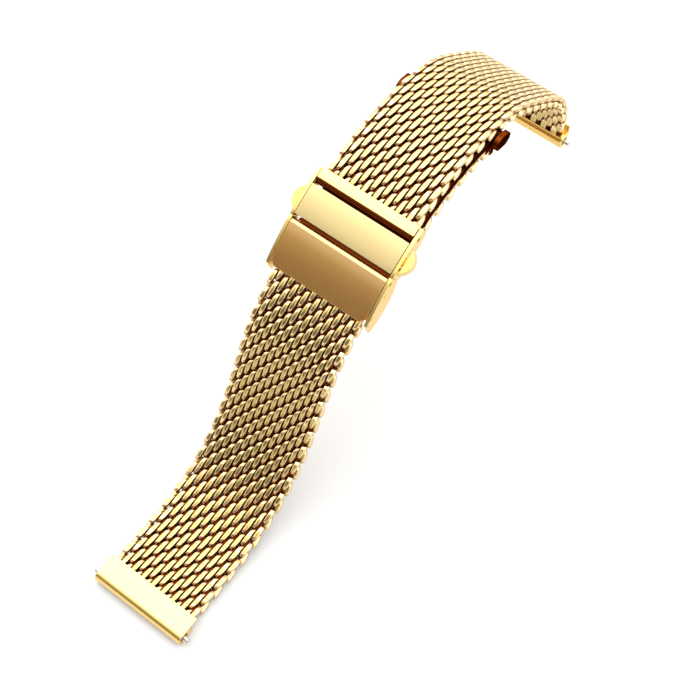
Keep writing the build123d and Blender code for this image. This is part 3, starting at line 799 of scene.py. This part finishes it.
class BAND_OT_lower_weave(bpy.types.Operator):
    """Weaves the lower strap and its tail"""

    bl_idname = "band.lower_weave"
    bl_label = "Weave the lower strap"

    def execute(self, context):
        finish = context.scene.band_finish
        # Painted shade: the lower strap's rolled flats are darker than the upper strap's, a shaded copy of the same
        # wire
        material = wire_finish(finish, "rolled_wire_lower", finish.flat_shade_lower)
        weave_strap(
            context, "lower", LOWER, LOWER_START, LOWER_CUTS, LOWER_JOINTS, LOWER_BODIES, LOWER_NODES, material
        )
        return {"FINISHED"}


class BAND_OT_upper_weave(bpy.types.Operator):
    """Weaves the upper strap"""

    bl_idname = "band.upper_weave"
    bl_label = "Weave the upper strap"

    def execute(self, context):
        finish = context.scene.band_finish
        # Painted light: the upper strap's rolled flats are paler, a lit copy of the same wire
        material = wire_finish(finish, "rolled_wire_upper", finish.flat_shade_upper)
        weave_strap(
            context, "upper", OUTER, UPPER_START, UPPER_CUTS, UPPER_JOINTS, UPPER_BODIES, UPPER_NODES, material
        )
        return {"FINISHED"}


class BAND_OT_clasp_plates(bpy.types.Operator):
    """Rounds and finishes the lid, the cover plate and the strap end bar"""

    bl_idname = "band.clasp_plates"
    bl_label = "Finish the clasp plates"

    def execute(self, context):
        finish = context.scene.band_finish
        lid = lid_finish(finish)
        cover = satin_finish("satin_cover", finish.cover, COVER_ROUGHNESS)
        bar = bar_finish(finish)
        rounded_copy("adjuster_lid", lid, LID_ROUNDING * finish.edge_round)
        rounded_copy("head_cover_plate", cover, finish.edge_round)
        rounded_copy("strap_end_bar", bar, finish.edge_round)
        return {"FINISHED"}


class BAND_OT_frames(bpy.types.Operator):
    """Rounds and finishes the frames, the buttons and the lug ends"""

    bl_idname = "band.frames"
    bl_label = "Finish the frames and lug ends"

    def execute(self, context):
        finish = context.scene.band_finish
        satin = satin_finish("satin_fittings", finish.fittings, FRAME_ROUGHNESS)
        for node in FRAME_NODES:
            rounded_copy(node, satin, finish.edge_round)
        return {"FINISHED"}


class BAND_OT_springs(bpy.types.Operator):
    """Winds the button springs and the spring bar coils"""

    bl_idname = "band.springs"
    bl_label = "Wind the springs"

    def execute(self, context):
        steel = plain_finish("spring_steel", context.scene.band_finish.spring_steel, SPRING_ROUGHNESS)
        for side, sign in (("left", 1), ("right", -1)):
            node = f"button_spring_{side}"
            low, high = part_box(node)
            inner, outer = sorted((abs(low.y), abs(high.y)))
            reach = (sign * inner, sign * outer)
            wire_spring(f"{node}_wire", node, BUTTON_TURNS, BUTTON_WIRE, reach, steel)
            for word, body in (("lower", "lower_mesh_1"), ("upper", "upper_mesh_5")):
                node = f"{word}_spring_bar_coil"
                reach = (sign * BAR_WIRE * MM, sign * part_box(node)[1].y)
                wire_spring(f"{node}_wire_{side}", node, BAR_TURNS, BAR_WIRE, reach, steel)
        return {"FINISHED"}


class BAND_OT_inner_painted_shade(bpy.types.Operator):
    """Finishes the blades, latches, pins and spring bars; the blades, latches and pins in a deep red-brown painted
    shade.
    """

    bl_idname = "band.inner_steel"
    bl_label = "Finish the blades and pins"

    def execute(self, context):
        finish = context.scene.band_finish
        # Painted shade: blades, latches and pins coloured deep red-brown
        steel = plain_finish("inner_steel", finish.inner_steel, BLADE_ROUGHNESS)
        pale = plain_finish("spring_bar_steel", finish.spring_steel, SPRING_ROUGHNESS)
        left = [node for node, piece in frame["nodes"].items() if not piece.hide_render]
        dress([node for node in left if "spring_bar" not in node], steel)
        dress([node for node in left if "spring_bar" in node], pale)
        return {"FINISHED"}


class BAND_OT_studio(bpy.types.Operator):
    """Makes the floor, the lights and the camera"""

    bl_idname = "band.studio"
    bl_label = "Set up the studio"

    def execute(self, context):
        studio = context.scene.band_studio
        bm = bmesh.new()
        bmesh.ops.create_grid(bm, x_segments=1, y_segments=1, size=FLOOR_REACH)
        bmesh.ops.translate(bm, verts=bm.verts, vec=(0, 0, -FLOOR_DROP))
        floor = finished("studio_floor", bm, floor_finish(studio.floor))
        room_light(context, studio.world)
        soft_light(context, studio.key)
        context.scene.view_settings.view_transform = "Standard"
        camera(context)
        return {"FINISHED"}


def room_light(context, strength):
    """A room that is dim at the horizon and bright overhead, more so on the far side and to both sides."""
    s = Shader("studio_room", "worlds")
    coords = s.coords("Generated")
    across, height, aside = (s.part(coords, axis) for axis in ("X", "Z", "Y"))
    share = height + FAR_SIDE * across + BOTH_SIDES * aside * aside
    light = s.ramp(share, [(place, (level, level, level, 1.0)) for place, level in ROOM_LEVELS])
    s.finish(s.node("ShaderNodeBackground", {}, {"Color": light, "Strength": strength}), "ShaderNodeOutputWorld")
    context.scene.world = s.material


def soft_light(context, power):
    """A large soft light overhead, turned to the band."""
    light = bpy.data.lights.new("key_light", "AREA")
    light.size = KEY_SIZE
    light.energy = power
    thing = bpy.data.objects.new("key_light", light)
    thing.location = KEY_PLACE
    thing.rotation_euler = (Vector(KEY_AIM) - Vector(KEY_PLACE)).to_track_quat("-Z", "Y").to_euler()
    context.scene.collection.objects.link(thing)


def camera(context):
    """The camera, where the photograph was taken from."""
    data = bpy.data.cameras.new("camera")
    data.sensor_width = SENSOR_WIDTH
    data.lens = LENS
    data.clip_start = NEAREST_SEEN
    thing = bpy.data.objects.new("camera", data)
    thing.location = (Vector(CAMERA_PLACE) + SHIFT) * MM
    thing.rotation_euler = Vector(CAMERA_VIEW).to_track_quat("-Z", "Y").to_euler()
    context.scene.collection.objects.link(thing)
    context.scene.camera = thing


class BAND_PT_panel(bpy.types.Panel):
    """Lists the steps"""

    bl_label = "Watch band"
    bl_idname = "BAND_PT_panel"
    bl_space_type = "VIEW_3D"
    bl_region_type = "UI"
    bl_category = "Watch band"

    def draw(self, context):
        for step in STEPS:
            self.layout.operator(step.bl_idname)


STEPS = [
    BAND_OT_lower_weave,
    BAND_OT_upper_weave,
    BAND_OT_clasp_plates,
    BAND_OT_frames,
    BAND_OT_springs,
    BAND_OT_inner_painted_shade,
    BAND_OT_studio,
]
GROUPS = {"band_weave": WeaveSettings, "band_finish": FinishSettings, "band_studio": StudioSettings}


def register():
    for group in GROUPS.values():
        bpy.utils.register_class(group)
    for step in STEPS + [BAND_PT_panel]:
        bpy.utils.register_class(step)
    for name, group in GROUPS.items():
        setattr(bpy.types.Scene, name, PointerProperty(type=group))


def unregister():
    for name in GROUPS:
        delattr(bpy.types.Scene, name)
    for step in [BAND_PT_panel] + STEPS[::-1]:
        bpy.utils.unregister_class(step)
    for group in GROUPS.values():
        bpy.utils.unregister_class(group)


def main():
    register()
    bpy.ops.band.lower_weave()
    bpy.ops.band.upper_weave()
    bpy.ops.band.clasp_plates()
    bpy.ops.band.frames()
    bpy.ops.band.springs()
    bpy.ops.band.inner_steel()
    bpy.ops.band.studio()


if __name__ == "__main__":
    main()
